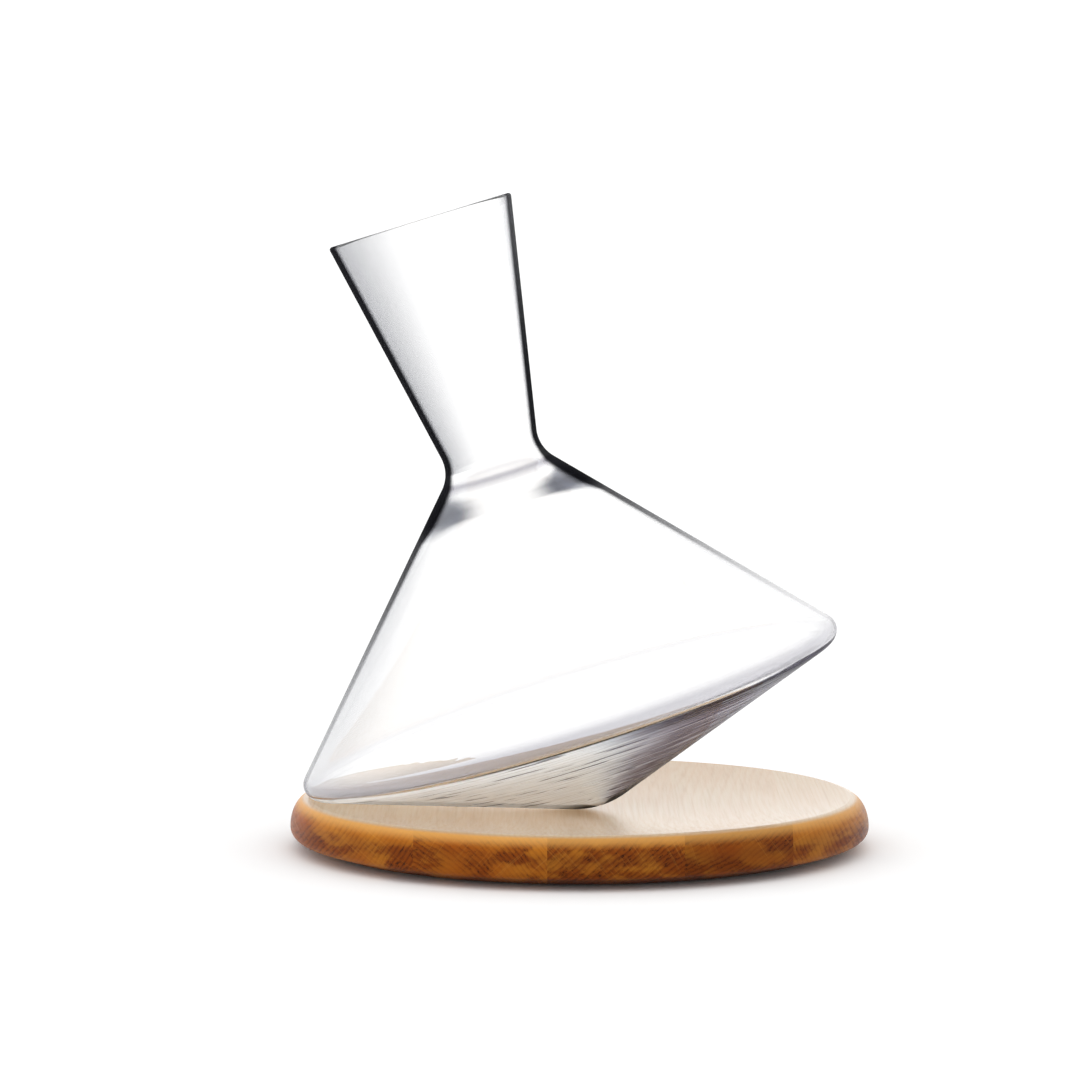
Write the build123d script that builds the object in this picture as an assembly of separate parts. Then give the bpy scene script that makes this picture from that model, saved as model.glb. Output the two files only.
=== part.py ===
from build123d import *
import os
from math import acos, atan2, cos, degrees, hypot, radians, sin, sqrt, tan

# Balancing wine decanter: a blown glass flask, wide and pointed underneath, leaning in the
# shallow dish of a round oak base. The origin is at the centre of the base, on the plane that
# its foot pads rest on. +Z is up, the flask leans towards -X and the front faces -Y.
# Lengths are in millimetres and angles in degrees.

# Flask, drawn upright with z = 0 at the sharp corner that the two cones would make.
CORNER_R = 114.2          # radius of that corner, before it is rounded
SHOULDER_ANGLE = 42.65    # upper cone's wall, from the axis
UNDERSIDE_SLOPE = 20.2    # lower cone's wall, above the horizontal
THROAT_Z = 104.0          # where the neck's and the shoulder's lines cross
NECK_FLARE = 10.95        # neck's wall, from the axis
MOUTH_Z = 203.3           # lip of the mouth
RIM_ROUND = 4.9           # outside radius round the widest edge
THROAT_ROUND = 14.0       # outside radius in the throat
TIP_ROUND = 34.0          # outside radius of the point that it turns on
NECK_WALL = 2.4           # glass in the neck, from the mouth to the throat
SHOULDER_WALL = 2.6       # in the shoulder at the throat
RIM_WALL = 1.5            # in the shoulder and the underside at the widest edge
UNDERSIDE_WALL = 3.2      # in the underside towards the point
POOL_ROUND = 50.0         # inside radius above the point, where the glass is thickest
LEAN = 17.1               # axis of the flask from the vertical at rest

# Oak base, turned from a board that is edge-glued from staves running front to back.
BASE_R = 115.0            # widest radius
WOOD_THICKNESS = 19.5     # from the underside up to the crest of the rim
CREST_R = 107.5           # radius of the crest round the dish
DISH_DEPTH = 5.8          # of the dish's centre below the crest
GIRTH_DEPTH = 11.5        # of the widest line below the crest
UNDERSIDE_R = 101.0       # radius of the flat underside
GIRTH_ROUND = 5.0         # radius of the side just under the widest line
FOOT_EDGE_ROUND = 1.0     # radius where the side meets the underside
STAVE_JOINTS = (-63.5, -13.0, 38.5, 80.5)    # X of the glue lines

# Soft pads let into the underside.
PAD_COUNT = 4
PAD_R = 6.5
PAD_THICKNESS = 2.2
PAD_PROUD = 1.0           # that each pad stands below the wood
PAD_CIRCLE_R = 78.0
PAD_EDGE_ROUND = 0.5
PAD_FIT = 0.1             # gap round a pad in its recess

SEAT_GAP = 0.2            # between the flask and the dish

CREST_Z = PAD_PROUD + WOOD_THICKNESS
DISH_R = (CREST_R**2 + DISH_DEPTH**2) / (2 * DISH_DEPTH)
DISH_CENTRE_Z = CREST_Z - DISH_DEPTH + DISH_R


def wall_line(start, end, start_inset=0.0, end_inset=0.0):
    """Line from start to end, moved inwards, to its left, by an amount at each end."""
    along = (Vector(*end) - Vector(*start)).normalized()
    inwards = along.rotate(Axis.Z, 90)
    first = Vector(*start) + inwards * start_inset
    last = Vector(*end) + inwards * end_inset
    return first, (last - first).normalized()


def crossing(first, second):
    """Point where two such lines cross."""
    (p, u), (q, v) = first, second
    gap = q - p
    return p + u * ((gap.X * v.Y - gap.Y * v.X) / (u.X * v.Y - u.Y * v.X))


def surface_outline(underside, shoulder, neck, tip_round, rim_round, throat_round):
    """Half outline of one glass surface, as the arc of its point and the line up to the mouth."""
    corner = crossing(underside, shoulder)
    throat = crossing(shoulder, neck)
    lip_z = MOUTH_Z - NECK_WALL / 2
    mouth = neck[0] + neck[1] * ((lip_z - neck[0].Y) / neck[1].Y)
    slope = atan2(underside[1].Y, underside[1].X)
    centre_z = corner.Y - corner.X * tan(slope) + tip_round / cos(slope)
    tip = CenterArc((0, centre_z), tip_round, -90, degrees(slope))
    wall = FilletPolyline(tip @ 1, corner, throat, mouth, radius=(rim_round, throat_round))
    return tip, wall


def flask_upright():
    """The glass as one solid of revolution about Z."""
    point = (0, -CORNER_R * tan(radians(UNDERSIDE_SLOPE)))
    corner = (CORNER_R, 0)
    throat = (CORNER_R - THROAT_Z * tan(radians(SHOULDER_ANGLE)), THROAT_Z)
    mouth = (throat[0] + (MOUTH_Z - THROAT_Z) * tan(radians(NECK_FLARE)), MOUTH_Z)
    tip, wall = surface_outline(
        wall_line(point, corner), wall_line(corner, throat), wall_line(throat, mouth),
        TIP_ROUND, RIM_ROUND, THROAT_ROUND,
    )
    pool, lining = surface_outline(
        wall_line(point, corner, UNDERSIDE_WALL, RIM_WALL),
        wall_line(corner, throat, RIM_WALL, SHOULDER_WALL),
        wall_line(throat, mouth, NECK_WALL, NECK_WALL),
        POOL_ROUND, RIM_ROUND - RIM_WALL, THROAT_ROUND + NECK_WALL,
    )
    middle = Line(pool @ 0, tip @ 0)
    outer_lip, inner_lip = wall @ 1, lining @ 1
    lip_top = Vector((outer_lip.X + inner_lip.X) / 2, MOUTH_Z)
    lip = ThreePointArc(outer_lip, lip_top, inner_lip)
    edges = [middle, *tip.edges(), *wall.edges(), lip, *lining.edges(), *pool.edges()]
    return revolve(Plane.XZ * make_face(Wire(edges)), Axis.Z)


def leaned(x, z):
    """Where a point of the upright flask's XZ section goes when the flask leans."""
    a = radians(LEAN)
    return (x * cos(a) - z * sin(a), x * sin(a) + z * cos(a))


def seat_of_flask():
    """Place of the leaned flask that rests its point and its rim on the dish.

    The point and the rim are round, so both centres lie on circles about the dish's centre,
    as the two ends of a ladder do in a bowl.
    """
    half = radians(90 - SHOULDER_ANGLE + UNDERSIDE_SLOPE) / 2
    to_centre = radians(180 + UNDERSIDE_SLOPE) - half
    reach = RIM_ROUND / sin(half)
    rim = leaned(-CORNER_R - reach * cos(to_centre), reach * sin(to_centre))
    slope = radians(UNDERSIDE_SLOPE)
    tip = leaned(0, TIP_ROUND / cos(slope) - CORNER_R * tan(slope))

    span_x = rim[0] - tip[0]
    span_z = rim[1] - tip[1]
    span = hypot(span_x, span_z)
    tip_path = DISH_R - TIP_ROUND - SEAT_GAP
    rim_path = DISH_R - RIM_ROUND - SEAT_GAP
    along = (rim_path**2 - tip_path**2 - span**2) / (2 * span)
    across = sqrt(tip_path**2 - along**2)
    x = (along * span_x - across * span_z) / span
    z = (along * span_z + across * span_x) / span
    return (x - tip[0], DISH_CENTRE_Z + z - tip[1])


def flask():
    """The glass, leaning at rest in the dish."""
    x, z = seat_of_flask()
    return Pos(x, 0, z) * Rot(0, -LEAN, 0) * flask_upright()


def pad_places():
    """Centres of the pads, on the underside of the wood."""
    return [Pos(0, 0, PAD_PROUD) * place for place in PolarLocations(PAD_CIRCLE_R, PAD_COUNT, 45)]


def turned_board():
    """The whole base as turned: dish, rounded crest, undercut side and pad recesses."""
    girth_z = CREST_Z - GIRTH_DEPTH
    round_x = BASE_R - GIRTH_ROUND
    # Below the girth's round the side runs along its tangent to the underside's edge.
    drop = girth_z - PAD_PROUD
    run = round_x - UNDERSIDE_R
    bevel = degrees(acos(GIRTH_ROUND / hypot(run, drop)) - atan2(run, drop))
    dish = ThreePointArc(
        (0, CREST_Z - DISH_DEPTH),
        (CREST_R / 2, DISH_CENTRE_Z - sqrt(DISH_R**2 - (CREST_R / 2)**2)),
        (CREST_R, CREST_Z),
    )
    crest = EllipticalCenterArc(
        (CREST_R, girth_z), BASE_R - CREST_R, GIRTH_DEPTH, start_angle=0, arc_size=90
    )
    girth = CenterArc((round_x, girth_z), GIRTH_ROUND, bevel - 90, 90 - bevel)
    side = Line(girth @ 0, (UNDERSIDE_R, PAD_PROUD))
    underside = Line((UNDERSIDE_R, PAD_PROUD), (0, PAD_PROUD))
    middle = Line((0, PAD_PROUD), (0, CREST_Z - DISH_DEPTH))
    section = make_face(Wire([dish, crest, girth, side, underside, middle]))
    board = revolve(Plane.XZ * section, Axis.Z)
    foot_edge = board.edges().filter_by(GeomType.CIRCLE).group_by(Axis.Z)[0]
    board = fillet(foot_edge, FOOT_EDGE_ROUND)
    recess = Cylinder(
        PAD_R + PAD_FIT, PAD_THICKNESS - PAD_PROUD,
        align=(Align.CENTER, Align.CENTER, Align.MIN),
    )
    for place in pad_places():
        board -= place * recess
    return board


def staves(board):
    """The board cut along its glue lines into one solid for each stave, from -X to +X."""
    edges = (-BASE_R, *STAVE_JOINTS, BASE_R)
    pieces = []
    for low, high in zip(edges, edges[1:]):
        slab = Pos((low + high) / 2, 0, CREST_Z / 2) * Box(high - low, 2 * BASE_R, 2 * CREST_Z)
        pieces.append(board & slab)
    return pieces


def foot_pad():
    """One soft pad, with its wearing edge rounded."""
    disc = Cylinder(PAD_R, PAD_THICKNESS, align=(Align.CENTER, Align.CENTER, Align.MIN))
    wearing_edge = disc.edges().filter_by(GeomType.CIRCLE).sort_by(Axis.Z)[0]
    return Pos(0, 0, -PAD_PROUD) * fillet(wearing_edge, PAD_EDGE_ROUND)


def save(shape, name):
    """Write one node, placed in the part's frame."""
    export_step(shape, f"parts/{name}.step")


os.makedirs("parts", exist_ok=True)
save(flask(), "flask")
for number, stave in enumerate(staves(turned_board()), start=1):
    save(stave, f"base_stave_{number}")
for number, place in enumerate(pad_places(), start=1):
    save(place * foot_pad(), f"foot_pad_{number}")
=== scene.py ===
import math

import bpy
from mathutils import Matrix, Vector


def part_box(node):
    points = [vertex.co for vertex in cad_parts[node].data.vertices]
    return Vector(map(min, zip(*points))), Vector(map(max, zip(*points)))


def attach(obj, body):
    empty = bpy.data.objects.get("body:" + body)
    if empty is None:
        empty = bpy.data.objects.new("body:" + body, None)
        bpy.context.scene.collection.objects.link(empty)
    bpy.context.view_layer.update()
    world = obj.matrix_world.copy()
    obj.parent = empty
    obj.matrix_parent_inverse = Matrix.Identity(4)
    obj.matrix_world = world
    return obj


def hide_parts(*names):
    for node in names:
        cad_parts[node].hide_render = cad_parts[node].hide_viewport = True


# A balancing wine decanter: a clear blown flask leaning in the dish of a round oak base.
# Lengths are in metres, and z = 0 is the floor. Angles are in degrees until they are used.

# Flask, upright, with z = 0 at the sharp corner that its two cones would make.
CORNER_R = 0.1142
SHOULDER_ANGLE = 42.65
UNDERSIDE_SLOPE = 20.2
THROAT_Z = 0.104
NECK_FLARE = 10.95
MOUTH_Z = 0.2033
RIM_ROUND = 0.0049
THROAT_ROUND = 0.014
TIP_ROUND = 0.034
NECK_WALL = 0.0024
SHOULDER_WALL = 0.0026    # at the throat
RIM_WALL = 0.0015         # in the shoulder and the underside at the widest edge
UNDERSIDE_WALL = 0.0032   # towards the point
POOL_ROUND = 0.050        # inside radius above the point
LEAN = 17.1

# Faint rings in the glass of the underside: length, share, drift and start of each wave.
RIPPLES = ((0.0031, 0.5, 1.0, 0.3), (0.0053, 0.8, 1.6, 1.9), (0.0094, 1.0, 0.7, 4.0))
RIPPLE_HEIGHT = 0.000006  # of a wave with share 1

FLASK_SIDES = 288
LIP_RISE = 0.00117        # height of the round lip, a hair under half a wall
LIP_STEPS = 12            # flats of the round lip
ARC_STEP = 4.0            # degrees of a rounded corner between two rings of the flask
WALL_STEP = 0.004         # distance between two rings along a straight wall
RIPPLED_STEP = 0.0008     # the same on the underside, which is rippled

# What each vertex of the glass stores for its material: mostly where and how strongly painted shade goes.
GLASS_MARKS = ("edge_onset", "edge_depth", "veil_low", "veil_high", "veil_depth", "ring_shade_tint",
               "underside")
# Tones of one crossing, which glass_material squares. Apart from WHITE they are tones of painted shade,
# or of painted reflection for the cool tint and the streaks.
WHITE = (1, 1, 1, 1)
VEIL_SHADE_COLOUR = (0.04, 0.05, 0.09, 1)
RING_SHADE_COLOUR = (0.43, 0.42, 0.47, 1)
COOL_REFLECTION_COLOUR = (0.91, 0.96, 1.0, 1)
STREAK_REFLECTION_COLOUR = (0.16, 0.16, 0.20, 1)
FLANK_SHADE_COLOUR = (0.30, 0.28, 0.34, 1)
BROW_SHADE_COLOUR = (0.10, 0.09, 0.13, 1)
EDGE_SHADE_COLOUR = (0.002, 0.002, 0.003, 1)     # painted edge shade, used as it is
GLASS_IOR = 1.51
FULL_EDGE = 0.985         # darkest share of the painted edge shade, seen side on
GLINT_REACH = 0.012       # how far light spreads in the underside's milky painted glint
WAVE_HEIGHT = 0.0014      # of the underside's bump
GRAZE_COSINES = 0.38, 0.54   # between these the underside's painted marks fade out

# Oak: the end grain round the rim has soaked up more oil than the long grain of the dish, whose paler top
# is also painted lighter as painted light.
RING_SPACING = 0.0018
RIM_LOW, CREST_LOW, RIM_HIGH = 0.004, 0.0140, 0.0205
# Of each stave: the pith's place in X and Z, the shade, and how much oil the end grain has soaked up.
STAVE_GRAIN = (((-0.20, 0.09), 1.00, 0.20), ((-0.115, -0.075), 0.97, 0.22), ((0.09, -0.085), 0.82, 0.28),
               ((0.01, 0.10), 0.68, 0.30), ((0.21, 0.06), 0.80, 0.18))
OAK_GOLDEN = (0.40, 0.145, 0.014, 1)
# Painted highlight: the golden band along the top of the rim.
OAK_CREST_HIGHLIGHT = (0.52, 0.27, 0.075, 1)
OAK_ORANGE = (0.27, 0.060, 0.004, 1)
OAK_BROWN = (0.105, 0.022, 0.003, 1)
OAK_DARK = (0.030, 0.007, 0.002, 1)
OAK_RAY = (0.52, 0.22, 0.040, 1)
# The dish's top: paler long grain, lightened further as painted light.
OAK_TOP_GRAIN_AND_LIGHT = (0.50, 0.370, 0.225, 1)
OAK_TOP_DEEP = (0.46, 0.275, 0.140, 1)
OAK_TOP_DARK = (0.27, 0.14, 0.07, 1)

# Camera: the photograph's viewpoint, a long lens a little above the mouth's height.
CAMERA_PLACE = (-0.0157, -1.711, 0.2659)
CAMERA_PITCH = 4.8
CAMERA_LENS = 144.4


def camera():
    """The camera at the photograph's viewing angle."""
    data = bpy.data.cameras.new("camera")
    data.lens = CAMERA_LENS
    data.sensor_width = 36.0
    data.clip_end = 200.0
    obj = bpy.data.objects.new("camera", data)
    obj.location = CAMERA_PLACE
    obj.rotation_euler = (math.radians(90 - CAMERA_PITCH), 0, 0)
    bpy.context.scene.collection.objects.link(obj)
    bpy.context.scene.camera = obj


# ---------------------------------------------------------------- node helpers

class Nodes:
    """Short calls for building a material's node tree."""

    def __init__(self, tree):
        self.tree = tree

    def add(self, kind, **settings):
        node = self.tree.nodes.new(kind)
        for key, value in settings.items():
            setattr(node, key, value)
        return node

    def link(self, source, target):
        self.tree.links.new(source, target)

    def feed(self, value, socket):
        if isinstance(value, bpy.types.NodeSocket):
            self.link(value, socket)
        else:
            socket.default_value = value

    def math(self, operation, a, b=0.0, clamp=False):
        node = self.add("ShaderNodeMath", operation=operation, use_clamp=clamp)
        self.feed(a, node.inputs[0])
        self.feed(b, node.inputs[1])
        return node.outputs[0]

    def vector(self, operation, a, b=(0, 0, 0)):
        node = self.add("ShaderNodeVectorMath", operation=operation)
        self.feed(a, node.inputs[0])
        self.feed(b, node.inputs[1])
        return node.outputs[0]

    def combine(self, x, y, z):
        node = self.add("ShaderNodeCombineXYZ")
        for value, socket in zip((x, y, z), node.inputs):
            self.feed(value, socket)
        return node.outputs[0]

    def separate(self, vector):
        node = self.add("ShaderNodeSeparateXYZ")
        self.link(vector, node.inputs[0])
        return node.outputs

    def noise(self, vector, scale, detail=2.0, roughness=0.5):
        node = self.add("ShaderNodeTexNoise")
        self.link(vector, node.inputs["Vector"])
        node.inputs["Scale"].default_value = scale
        node.inputs["Detail"].default_value = detail
        node.inputs["Roughness"].default_value = roughness
        return node.outputs["Fac"]

    def ramp(self, fac, stops):
        node = self.add("ShaderNodeValToRGB")
        ramp = node.color_ramp
        while len(ramp.elements) < len(stops):
            ramp.elements.new(0.5)
        for element, (position, colour) in zip(ramp.elements, stops):
            element.position = position
            element.color = (*colour, 1.0)
        self.link(fac, node.inputs[0])
        return node.outputs[0]

    def span(self, value, low, high, to_low=0.0, to_high=1.0, smooth=True):
        node = self.add("ShaderNodeMapRange")
        node.interpolation_type = "SMOOTHSTEP" if smooth else "LINEAR"
        self.feed(value, node.inputs[0])
        for end, socket in zip((low, high, to_low, to_high), list(node.inputs)[1:5]):
            self.feed(end, socket)
        return node.outputs[0]

    def mix(self, fac, a, b, blend="MIX"):
        node = self.add("ShaderNodeMix", data_type="RGBA", blend_type=blend)
        self.feed(fac, node.inputs[0])
        self.feed(a, node.inputs[6])
        self.feed(b, node.inputs[7])
        return node.outputs[2]

    def towards(self, direction=None):
        """Cosine of the angle between the line of sight and the surface normal or a direction."""
        weight = self.add("ShaderNodeLayerWeight")
        weight.inputs["Blend"].default_value = 0.5
        if direction is not None:
            self.link(direction, weight.inputs["Normal"])
        return self.math("SUBTRACT", 1.0, weight.outputs["Facing"])

    def bump(self, height, strength, distance):
        node = self.add("ShaderNodeBump")
        self.feed(strength, node.inputs["Strength"])
        node.inputs["Distance"].default_value = distance
        self.link(height, node.inputs["Height"])
        return node.outputs[0]


def new_material(name):
    """A material with its node helper and its Principled shader."""
    material = bpy.data.materials.new(name)
    material.use_nodes = True
    nodes = Nodes(material.node_tree)
    return material, nodes, material.node_tree.nodes["Principled BSDF"]


# ---------------------------------------------------------------- materials

def glass_material():
    """Clear soda glass, painted black where its wall is seen edge on, with more painted shade and painted
    reflections on its neck, rim and underside.

    The Principled shader tints by the root of its base colour each time light crosses a surface,
    so the tone is worked out as one crossing's share and then squared. Seen at a slant along the
    wall, a band is as wide as it is square on, so the cosine is taken across the wall's slope.

    The painted edge shade, the grey veils of painted shade and the underside's painted glint, dark
    streaks and side shade depend on the viewing angle, so they change as the camera moves and the export
    bakes them at one angle.
    """
    material, n, shader = new_material("clear_glass")
    cosine = n.towards()
    slope = n.add("ShaderNodeAttribute", attribute_name="wall_slope").outputs["Vector"]
    turn = n.add("ShaderNodeVectorTransform", vector_type="VECTOR",
                 convert_from="OBJECT", convert_to="WORLD")
    n.link(slope, turn.inputs[0])
    along = n.towards(turn.outputs[0])
    across = n.math("SQRT", n.math("SUBTRACT", 1.0, n.math("MULTIPLY", along, along)))
    side_on = n.math("DIVIDE", cosine, n.math("MAXIMUM", across, 0.05))
    stored = {name: n.add("ShaderNodeAttribute", attribute_name=name).outputs["Fac"]
              for name in GLASS_MARKS}
    upright = n.add("ShaderNodeAttribute", attribute_name="upright").outputs["Vector"]

    # Painted shade: the glass turns black and stops letting light through where its wall is seen near
    # edge on.
    edge = n.math("DIVIDE", side_on, stored["edge_onset"])
    dark = n.math("MULTIPLY", n.span(edge, 0.80, 1.15, 1.0, 0.0), stored["edge_depth"])
    # Painted shade: grey veils inside the edges, by viewing angle.
    veil_shade = n.span(side_on, stored["veil_low"], stored["veil_high"], 1.0, 0.0)
    tone = n.mix(n.math("MULTIPLY", veil_shade, stored["veil_depth"]), WHITE, VEIL_SHADE_COLOUR)
    leaving = n.add("ShaderNodeNewGeometry").outputs["Backfacing"]
    # Painted shade: a thin grey ring below the throat and a band round the widest rim, weaker where seen
    # from inside.
    ring_shade = n.math("MULTIPLY", stored["ring_shade_tint"], n.span(leaving, 0.0, 1.0, 1.0, 0.3))
    tone = n.mix(ring_shade, tone, RING_SHADE_COLOUR)

    x, y, _ = n.separate(upright)
    radius = n.math("SQRT", n.math("ADD", n.math("MULTIPLY", x, x), n.math("MULTIPLY", y, y)))
    along_x, along_y = n.math("DIVIDE", x, radius), n.math("DIVIDE", y, radius)

    def rings(pitch, length, detail):
        """Noise drawn out along the rings of the underside."""
        place = n.combine(n.math("DIVIDE", radius, pitch), n.math("MULTIPLY", along_x, length),
                          n.math("MULTIPLY", along_y, length))
        return n.noise(place, 1.0, detail)

    # The underside's painted marks below show only where it is seen at a grazing angle.
    grazed = n.math("MULTIPLY", n.span(cosine, *GRAZE_COSINES, 1.0, 0.0), stored["underside"])
    facing = n.math("SUBTRACT", 1.0, leaving)
    wide, fine = rings(0.0028, 2.2, 2.0), rings(0.0012, 1.8, 1.0)
    # Painted reflections: dark streaks and a cool tint on the underside.
    streak_reflection = n.math("MULTIPLY", n.span(wide, 0.62, 0.67), grazed)
    tone = n.mix(grazed, tone, COOL_REFLECTION_COLOUR)
    tone = n.mix(n.math("MULTIPLY", streak_reflection, 0.8), tone, STREAK_REFLECTION_COLOUR)
    # Painted shade on the underside's +X side, seen from outside at a grazing angle.
    side = n.math("MULTIPLY", n.span(along_x, -0.05, 0.55), facing)
    grazed_side = n.math("MULTIPLY", side, grazed)
    flank_shade = n.math("MULTIPLY", grazed_side, n.span(fine, 0.50, 0.66, 1.0, 0.60))
    tone = n.mix(flank_shade, tone, FLANK_SHADE_COLOUR)
    # Painted shade: a darker band just inside the widest rim on that side.
    brow_shade = n.math("MULTIPLY", n.span(radius, CORNER_R - 0.022, CORNER_R - 0.010), grazed_side)
    tone = n.mix(n.math("MULTIPLY", brow_shade, 0.85), tone, BROW_SHADE_COLOUR)
    tone = n.mix(1.0, tone, tone, "MULTIPLY")
    tone = n.mix(dark, tone, EDGE_SHADE_COLOUR)
    n.link(tone, shader.inputs["Base Color"])
    grazed_outside = n.math("MULTIPLY", grazed, facing)
    # Painted glint: a milky share of the underside, seen from outside at a grazing angle, in place of
    # bright reflections; the subsurface below lights it.
    painted_glint = n.math("MULTIPLY", grazed_outside, n.span(fine, 0.35, 0.60, 0.72, 0.95))
    painted_glint = n.math("MULTIPLY", painted_glint, n.span(side, 0.0, 1.0, 1.0, 0.78))
    clear = n.math("SUBTRACT", 1.0, n.math("MAXIMUM", dark, painted_glint))
    n.link(clear, shader.inputs["Transmission Weight"])
    shader.inputs["Subsurface Weight"].default_value = 1.0
    shader.inputs["Subsurface Radius"].default_value = (1.0, 1.0, 1.0)
    shader.inputs["Subsurface Scale"].default_value = GLINT_REACH
    shader.inputs["Specular IOR Level"].default_value = 0.0
    shader.inputs["Roughness"].default_value = 0.0
    shader.inputs["IOR"].default_value = GLASS_IOR
    waves = n.math("ADD", wide, n.math("MULTIPLY", fine, 0.15))
    waves = n.math("MULTIPLY", waves, stored["underside"])
    n.link(n.bump(waves, grazed_outside, WAVE_HEIGHT), shader.inputs["Normal"])
    return material


def oak_material(name, pith, tone, soak, seed):
    """Oiled oak of one stave, with its growth rings about a pith line that runs front to back, and
    painted light and shade on its rim and dish.
    """
    material, n, shader = new_material(name)
    place = n.add("ShaderNodeTexCoord").outputs["Object"]
    facing_up = n.separate(n.add("ShaderNodeTexCoord").outputs["Normal"])[2]
    dish = n.span(facing_up, 0.80, 0.97)
    x, y, z = n.separate(place)
    shifted = n.vector("ADD", place, (0.0, seed * 0.37, 0.0))

    sway = n.noise(n.vector("MULTIPLY", shifted, (14.0, 3.0, 14.0)), 1.0, 1.0)
    waver = n.noise(n.vector("MULTIPLY", shifted, (85.0, 8.0, 85.0)), 1.0, 2.0)
    dx = n.math("SUBTRACT", x, pith[0])
    dz = n.math("SUBTRACT", z, pith[1])
    radius = n.math("SQRT", n.math("ADD", n.math("MULTIPLY", dx, dx), n.math("MULTIPLY", dz, dz)))
    radius = n.math("ADD", radius, n.math("MULTIPLY", sway, 0.012))
    radius = n.math("ADD", radius, n.math("MULTIPLY", waver, 0.0030))
    ring = n.math("FRACT", n.math("DIVIDE", radius, RING_SPACING))
    late = n.ramp(ring, [(0.0, (0.0,) * 3), (0.4, (0.15,) * 3), (0.75, (1.0,) * 3), (0.95, (0.1,) * 3)])

    patch = n.span(n.noise(n.vector("MULTIPLY", shifted, (34.0, 9.0, 34.0)), 1.0, 2.0), 0.32, 0.68)
    smear = n.noise(n.vector("MULTIPLY", shifted, (75.0, 12.0, 150.0)), 1.0, 2.0)
    smear = n.span(smear, 0.60 - soak, 0.86 - soak)
    angle = n.math("ARCTAN2", dz, dx)
    dash = n.combine(n.math("MULTIPLY", radius, 1900.0), n.math("MULTIPLY", angle, 75.0),
                     n.math("MULTIPLY", y, 40.0))
    dash = n.span(n.noise(dash, 1.0, 2.0, 0.6), 0.54, 0.70)
    fibre = n.noise(n.vector("MULTIPLY", shifted, (900.0, 14.0, 900.0)), 1.0, 3.0, 0.6)
    ray = n.noise(n.combine(n.math("MULTIPLY", angle, 300.0), n.math("MULTIPLY", y, 30.0),
                            n.math("MULTIPLY", radius, 45.0)), 1.0, 1.0)
    ray = n.span(ray, 0.60, 0.72)

    # Less soak and oil near the top of the rim makes it paler: a painted highlight where the rounded edge
    # catches the light.
    crest = n.span(z, CREST_LOW, RIM_HIGH)
    soaked = n.math("MULTIPLY", smear, n.math("SUBTRACT", 1.0, n.math("MULTIPLY", crest, 0.7)))
    oiled = n.math("MULTIPLY", patch, n.math("SUBTRACT", 1.0, n.math("MULTIPLY", crest, 0.6)))
    rim = n.mix(n.math("MAXIMUM", oiled, soaked), OAK_GOLDEN, OAK_ORANGE)
    rim = n.mix(n.math("MULTIPLY", soaked, 0.35), rim, OAK_BROWN)
    ringed = n.math("ADD", n.math("MULTIPLY", soaked, 0.65), 0.25)
    rim = n.mix(n.math("MULTIPLY", late, ringed), rim, OAK_BROWN)
    dashed = n.math("ADD", n.math("MULTIPLY", soaked, 0.75), 0.15)
    rim = n.mix(n.math("MULTIPLY", dash, dashed), rim, OAK_DARK)
    rim = n.mix(n.math("MULTIPLY", ray, 0.20), rim, OAK_RAY)
    # Painted highlight: a golden band along the top of the rim.
    rim = n.mix(n.span(z, 0.0155, 0.0200, 0.0, 0.85), rim, OAK_CREST_HIGHLIGHT)
    # The stave's own shade times painted light and shade: a little darker up the side, then up to 1.65
    # times brighter over the top of the rim.
    painted_light_and_stave_shade = n.math("MULTIPLY", n.span(z, RIM_LOW, CREST_LOW, 1.05 * tone, 0.84 * tone),
                   n.span(z, CREST_LOW - 0.003, RIM_HIGH, 1.0, 1.65))
    rim = n.mix(1.0, rim, n.combine(painted_light_and_stave_shade, painted_light_and_stave_shade, painted_light_and_stave_shade), "MULTIPLY")

    # The dish's top: paler long grain, painted lighter still as painted light on the lit top.
    top = n.mix(n.math("MULTIPLY", patch, 0.5), OAK_TOP_GRAIN_AND_LIGHT, OAK_TOP_DEEP)
    top = n.mix(n.math("MULTIPLY", late, 0.45), top, OAK_TOP_DEEP)
    top = n.mix(n.math("MULTIPLY", n.span(fibre, 0.5, 0.75), 0.18), top, OAK_TOP_DARK)
    n.link(n.mix(dish, rim, top), shader.inputs["Base Color"])
    n.link(n.span(fibre, 0.3, 0.7, 0.30, 0.42), shader.inputs["Roughness"])
    n.link(n.span(facing_up, 0.80, 0.97, 0.15, 1.0), shader.inputs["Coat Weight"])
    shader.inputs["Specular IOR Level"].default_value = 0.03
    shader.inputs["Coat Roughness"].default_value = 0.20
    shader.inputs["Coat IOR"].default_value = 1.25
    height = n.math("SUBTRACT", n.math("MULTIPLY", fibre, 0.5), dash)
    n.link(n.bump(height, 0.15, 0.0001), shader.inputs["Normal"])
    return material


def silicone_material():
    """Milky soft silicone of the pads."""
    material, n, shader = new_material("pad_silicone")
    place = n.add("ShaderNodeTexCoord").outputs["Object"]
    grain = n.noise(place, 900.0, 3.0)
    milky = n.ramp(grain, [(0.3, (0.60, 0.59, 0.56)), (0.7, (0.70, 0.69, 0.66))])
    n.link(milky, shader.inputs["Base Color"])
    n.link(n.span(grain, 0.3, 0.7, 0.45, 0.6), shader.inputs["Roughness"])
    shader.inputs["Subsurface Weight"].default_value = 0.3
    shader.inputs["Subsurface Radius"].default_value = (0.002, 0.002, 0.002)
    n.link(n.bump(grain, 0.2, 0.0001), shader.inputs["Normal"])
    return material


# ---------------------------------------------------------------- flask

def wall_line(start, end, start_inset=0.0, end_inset=0.0):
    """Line from start to end, moved inwards, to its left, by an amount at each end."""
    along = (end - start).normalized()
    inwards = Vector((-along.y, along.x))
    first = start + inwards * start_inset
    last = end + inwards * end_inset
    return first, (last - first).normalized()


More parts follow.
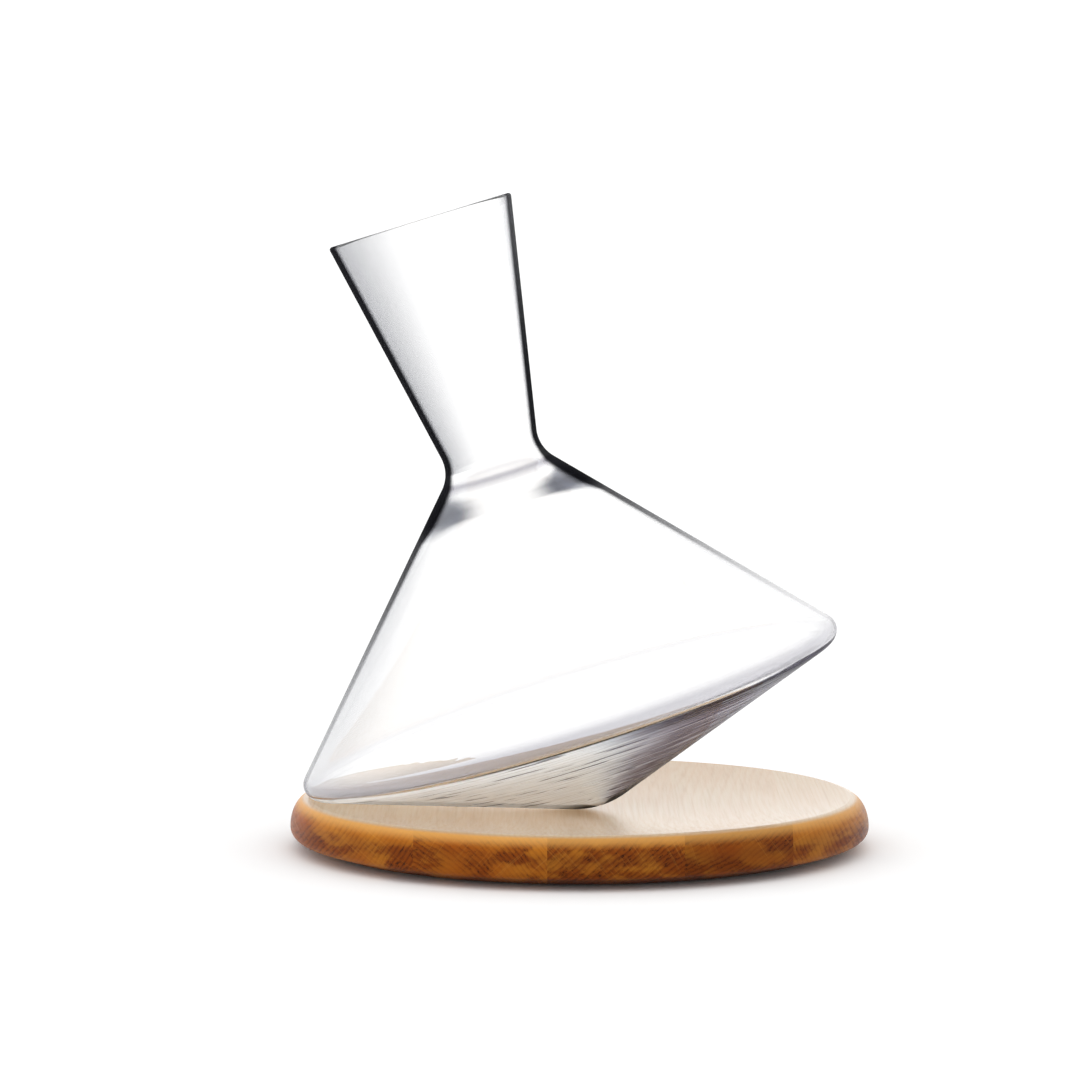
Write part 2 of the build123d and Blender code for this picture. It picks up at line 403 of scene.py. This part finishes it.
def crossing(first, second):
    """Point where two such lines cross."""
    (p, u), (q, v) = first, second
    gap = q - p
    return p + u * ((gap.x * v.y - gap.y * v.x) / (u.x * v.y - u.y * v.x))


def arc(centre, radius, start, end):
    """Points of an arc from one angle to another."""
    steps = max(2, math.ceil(abs(end - start) / ARC_STEP))
    points = []
    for i in range(steps + 1):
        a = math.radians(start + (end - start) * i / steps)
        points.append(centre + radius * Vector((math.cos(a), math.sin(a))))
    return points


def rounded(before, corner, after, radius):
    """Points of the arc that rounds a corner between two straight walls."""
    u = (before - corner).normalized()
    v = (after - corner).normalized()
    half = u.angle(v) / 2
    centre = corner + (u + v).normalized() * (radius / math.sin(half))
    start = corner + u * (radius / math.tan(half)) - centre
    end = corner + v * (radius / math.tan(half)) - centre
    first = math.degrees(math.atan2(start.y, start.x))
    turn = math.degrees(math.atan2(end.y, end.x)) - first
    turn = (turn + 180) % 360 - 180
    return arc(centre, radius, first, first + turn)


def spaced(a, b, step):
    """Points from a to b, without a."""
    steps = max(1, math.ceil((b - a).length / step))
    return [a.lerp(b, i / steps) for i in range(1, steps + 1)]


def surface_outline(underside, shoulder, neck, tip_round, rim_round, throat_round):
    """Half outline of one glass surface, from the axis at the bottom up to the mouth."""
    corner = crossing(underside, shoulder)
    throat = crossing(shoulder, neck)
    lip_z = MOUTH_Z - NECK_WALL / 2
    mouth = neck[0] + neck[1] * ((lip_z - neck[0].y) / neck[1].y)
    slope = math.atan2(underside[1].y, underside[1].x)
    centre = Vector((0, corner.y - corner.x * math.tan(slope) + tip_round / math.cos(slope)))
    tip = arc(centre, tip_round, -90, -90 + math.degrees(slope))
    rim = rounded(tip[-1], corner, throat, rim_round)
    waist = rounded(corner, throat, mouth, throat_round)
    outline = tip + spaced(tip[-1], rim[0], RIPPLED_STEP) + rim[1:]
    outline += spaced(rim[-1], waist[0], WALL_STEP) + waist[1:]
    return outline + spaced(waist[-1], mouth, WALL_STEP)


def flask_outlines():
    """Outer and inner half outline of the upright flask, each from the axis up to the mouth."""
    point = Vector((0, -CORNER_R * math.tan(math.radians(UNDERSIDE_SLOPE))))
    corner = Vector((CORNER_R, 0))
    throat = Vector((CORNER_R - THROAT_Z * math.tan(math.radians(SHOULDER_ANGLE)), THROAT_Z))
    mouth_r = throat.x + (MOUTH_Z - THROAT_Z) * math.tan(math.radians(NECK_FLARE))
    mouth = Vector((mouth_r, MOUTH_Z))
    outer = surface_outline(wall_line(point, corner), wall_line(corner, throat), wall_line(throat, mouth),
                            TIP_ROUND, RIM_ROUND, THROAT_ROUND)
    inner = surface_outline(wall_line(point, corner, UNDERSIDE_WALL, RIM_WALL),
                            wall_line(corner, throat, RIM_WALL, SHOULDER_WALL),
                            wall_line(throat, mouth, NECK_WALL, NECK_WALL),
                            POOL_ROUND, RIM_ROUND - RIM_WALL, THROAT_ROUND + NECK_WALL)
    return outer, inner


def ripple(radius, angle):
    """Height of the faint rings that spinning leaves in the soft glass of the underside."""
    inside = min(1.0, max(0.0, (CORNER_R - 0.014 - radius) / 0.02)) * min(1.0, radius / 0.012)
    wander = 0.9 * math.sin(2 * angle + 0.7) + 0.6 * math.sin(5 * angle + 2.1)
    waves = sum(math.sin(2 * math.pi * radius / length + wander * drift + start) * share
                for length, share, drift, start in RIPPLES)
    return inside * RIPPLE_HEIGHT * waves


def flask_mesh():
    """One closed lathe mesh of the upright flask, outer surface, lip and lining."""
    outer, inner = flask_outlines()
    middle = (outer[-1] + inner[-1]) / 2
    half = (outer[-1] - inner[-1]).length / 2
    bends = [math.pi * i / LIP_STEPS for i in range(1, LIP_STEPS)]
    lip = [middle + Vector((half * math.cos(a), LIP_RISE * math.sin(a))) for a in bends]
    outline = outer + lip + inner[::-1]
    sides = FLASK_SIDES
    turns = [2 * math.pi * i / sides for i in range(sides)]

    verts = [(0, 0, outer[0].y)]
    for p in outline[1:-1]:
        for a in turns:
            rise = abs(ripple(p.x, a)) if p.y < 0 else 0.0
            verts.append((p.x * math.cos(a), p.x * math.sin(a), p.y + rise))
    verts.append((0, 0, inner[0].y))
    faces = []
    rings = len(outline) - 2
    last = 1 + (rings - 1) * sides
    for j in range(sides):
        k = (j + 1) % sides
        faces.append((0, 1 + k, 1 + j))
        faces.append((last + j, last + k, len(verts) - 1))
        for a in range(1, last, sides):
            faces.append((a + j, a + k, a + sides + k, a + sides + j))
    mesh = bpy.data.meshes.new("flask_glass")
    mesh.from_pydata(verts, [], faces)
    mesh.polygons.foreach_set("use_smooth", [True] * len(mesh.polygons))
    return mesh, 1 + (len(outer) + len(lip) // 2) * sides


def wall_thickness(radius, height):
    """Rough thickness of the glass at a place on the upright flask."""
    if height > THROAT_Z:
        return NECK_WALL
    if height > 0:
        return RIM_WALL + (SHOULDER_WALL - RIM_WALL) * height / THROAT_Z
    return UNDERSIDE_WALL + (RIM_WALL - UNDERSIDE_WALL) * min(1.0, radius / CORNER_R)


def ease(value, low, high):
    """0 below low, 1 above high and a smooth rise between them."""
    t = min(1.0, max(0.0, (value - low) / (high - low)))
    return t * t * (3 - 2 * t)


def glass_marks(co, normal):
    """How painted shade darkens the glass at a place on the outside of the upright flask, as GLASS_MARKS
    lists.

    A ray that enters within one wall's thickness of the outline never reaches the hollow, but
    runs along the wall. The cosine where that starts is sqrt(2 t / R), and from there the edge is painted
    shade.
    Heavier painted shade lies in a collar where the neck meets the shoulder, and on the low side of the
    lean.
    How strong the painted edges, veils and rings of shade are, and where the collar's painted smudges of
    shade lie, is set here.
    """
    radius = max(0.001, math.hypot(co.x, co.y))
    sideways = math.hypot(normal.x, normal.y)
    low_side = ease(-normal.x / max(sideways, 0.001), -0.8, 0.8)
    bend = radius / max(0.15, sideways)
    onset = min(0.60, math.sqrt(2 * wall_thickness(radius, co.z) / bend))
    # Painted shade: a thin grey ring just below the throat.
    ring_shade = 0.9 * math.exp(-((co.z - THROAT_Z + 0.0050) / 0.0010) ** 2)
    if co.z > THROAT_Z:
        near_mouth = ease(co.z, THROAT_Z + 0.03, MOUTH_Z)
        # Neck: painted edge shade, wider on the low side and lighter near the mouth on the high side, and
        # grey veils of painted shade, wider on the low side.
        onset *= 1.0 + 0.10 * low_side
        depth = FULL_EDGE - 0.07 * near_mouth * (1 - low_side)
        return onset, depth, 0.30, 0.62 + 0.62 * low_side, 0.53, ring_shade, 0.0
    if co.z > 0:
        # Shoulder: painted edge shade, deeper towards the neck and full in the collar, painted smudges of
        # shade in the collar, and veils of painted shade heavier on the low side.
        collar = ease(co.z, THROAT_Z - 0.024, THROAT_Z - 0.016)
        collar_shade = ease(co.z, THROAT_Z - 0.021, THROAT_Z - 0.018)
        collar_shade *= 1 - ease(co.z, THROAT_Z - 0.014, THROAT_Z - 0.005)
        shoulder = ease(co.z, 0.0, THROAT_Z - 0.015)
        onset = min(onset * (1.0 + 0.35 * collar), 0.50)
        depth = 0.35 + 0.60 * shoulder + 0.10 * low_side * (1 - shoulder)
        depth = depth * (1 - collar) + FULL_EDGE * collar
        low, high = 0.10 + 0.60 * collar_shade, 0.42 + 0.23 * low_side + 0.55 * collar_shade
        veil_shade = (0.25 + 0.20 * low_side + 0.15 * shoulder) * (1 - collar_shade)
        veil_shade += (0.91 - 0.06 * low_side) * collar_shade
        # Painted shade in a band round the widest rim, a little heavier on the low side.
        rim = (0.68 + 0.08 * low_side) * (1 - ease(co.z, 0.003, 0.008))
        return onset, depth, low, min(high, 0.98), veil_shade, max(ring_shade, rim), 0.0
    # Underside: painted edge shade and veils deeper at the tip, painted shade near the widest rim, and
    # the mask for its other painted marks.
    tip = 1 - ease(radius, 0.010, 0.030)
    inside = ease(radius, 0.008, 0.016) * (1 - ease(radius, CORNER_R - 0.004, CORNER_R - 0.001))
    ring_shade = 0.75 * (1 - inside) * (1 - tip)
    return onset * (1 + 0.7 * tip), 0.35 + 0.60 * tip, 0.1, 0.5, 0.15 + 0.35 * tip, ring_shade, inside


def wall_slope(normal):
    """Direction that runs up the wall, straight towards or away from the flask's axis."""
    sideways = math.hypot(normal.x, normal.y)
    if sideways < 0.001:
        return Vector((1, 0, 0))
    return Vector((-normal.z * normal.x / sideways, -normal.z * normal.y / sideways, sideways))


def mark_glass(mesh, outside, lean):
    """Store what the glass material reads at each vertex, of which the first ones are outside."""
    clear = (1.0, 0.0, 0.1, 1.0, 0.0, 0.0, 0.0)
    marks = [glass_marks(v.co, v.normal) if i < outside else clear for i, v in enumerate(mesh.vertices)]
    for name, values in zip(GLASS_MARKS, zip(*marks)):
        mesh.attributes.new(name, "FLOAT", "POINT").data.foreach_set("value", values)
    upright = [c for v in mesh.vertices for c in v.co]
    slope = [c for v in mesh.vertices for c in lean @ wall_slope(v.normal)]
    for name, values in (("upright", upright), ("wall_slope", slope)):
        mesh.attributes.new(name, "FLOAT_VECTOR", "POINT").data.foreach_set("vector", values)


def flask():
    """The blown flask, leaning where the CAD flask leans."""
    mesh, outside = flask_mesh()
    lean = Matrix.Rotation(math.radians(-LEAN), 4, "Y")
    mark_glass(mesh, outside, lean)
    mesh.transform(lean)
    low = Vector([min(v.co[i] for v in mesh.vertices) for i in range(3)])
    mesh.transform(Matrix.Translation(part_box("flask")[0] - low))
    obj = bpy.data.objects.new("flask_glass", mesh)
    bpy.context.scene.collection.objects.link(obj)
    obj.data.materials.append(glass_material())
    obj.visible_shadow = False
    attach(obj, "flask")
    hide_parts("flask")


# ---------------------------------------------------------------- base

def give(node, material):
    """Put a material on a CAD node."""
    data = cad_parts[node].data
    data.materials.clear()
    data.materials.append(material)


def base():
    """Oak on the staves and silicone on the pads."""
    for number, (pith, tone, soak) in enumerate(STAVE_GRAIN, start=1):
        give(f"base_stave_{number}", oak_material(f"oak_{number}", pith, tone, soak, number))
    pad = silicone_material()
    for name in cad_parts:
        if name.startswith("foot_pad"):
            give(name, pad)


# ---------------------------------------------------------------- studio

def studio():
    """Pale floor and soft light from all round that is strongest near the horizon."""
    mesh = bpy.data.meshes.new("floor")
    r = 60.0
    mesh.from_pydata([(-r, -r, 0), (r, -r, 0), (r, r, 0), (-r, r, 0)], [], [(0, 1, 2, 3)])
    floor = bpy.data.objects.new("floor", mesh)
    bpy.context.scene.collection.objects.link(floor)
    material, _, shader = new_material("floor")
    shader.inputs["Base Color"].default_value = (0.93, 0.93, 0.93, 1)
    shader.inputs["Roughness"].default_value = 0.9
    shader.inputs["Specular IOR Level"].default_value = 0.1
    mesh.materials.append(material)

    world = bpy.data.worlds.new("studio")
    world.use_nodes = True
    bpy.context.scene.world = world
    n = Nodes(world.node_tree)
    background = world.node_tree.nodes["Background"]
    direction = n.add("ShaderNodeTexCoord").outputs["Generated"]
    height = n.separate(direction)[2]
    tone = n.ramp(n.math("ADD", n.math("MULTIPLY", height, 0.5), 0.5), [
        (0.5, (1.0,) * 3), (0.60, (0.98,) * 3), (0.75, (0.85,) * 3), (1.0, (1.0,) * 3)])
    n.link(tone, background.inputs["Color"])
    background.inputs["Strength"].default_value = 1.3


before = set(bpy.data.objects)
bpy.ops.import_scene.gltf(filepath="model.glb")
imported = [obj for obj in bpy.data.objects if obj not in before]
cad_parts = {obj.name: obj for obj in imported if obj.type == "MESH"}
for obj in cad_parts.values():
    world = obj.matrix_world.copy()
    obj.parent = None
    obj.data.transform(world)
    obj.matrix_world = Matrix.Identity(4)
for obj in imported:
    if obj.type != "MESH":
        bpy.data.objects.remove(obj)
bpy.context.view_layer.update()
camera()
flask()
base()
studio()
bpy.context.scene.view_settings.view_transform = "Standard"
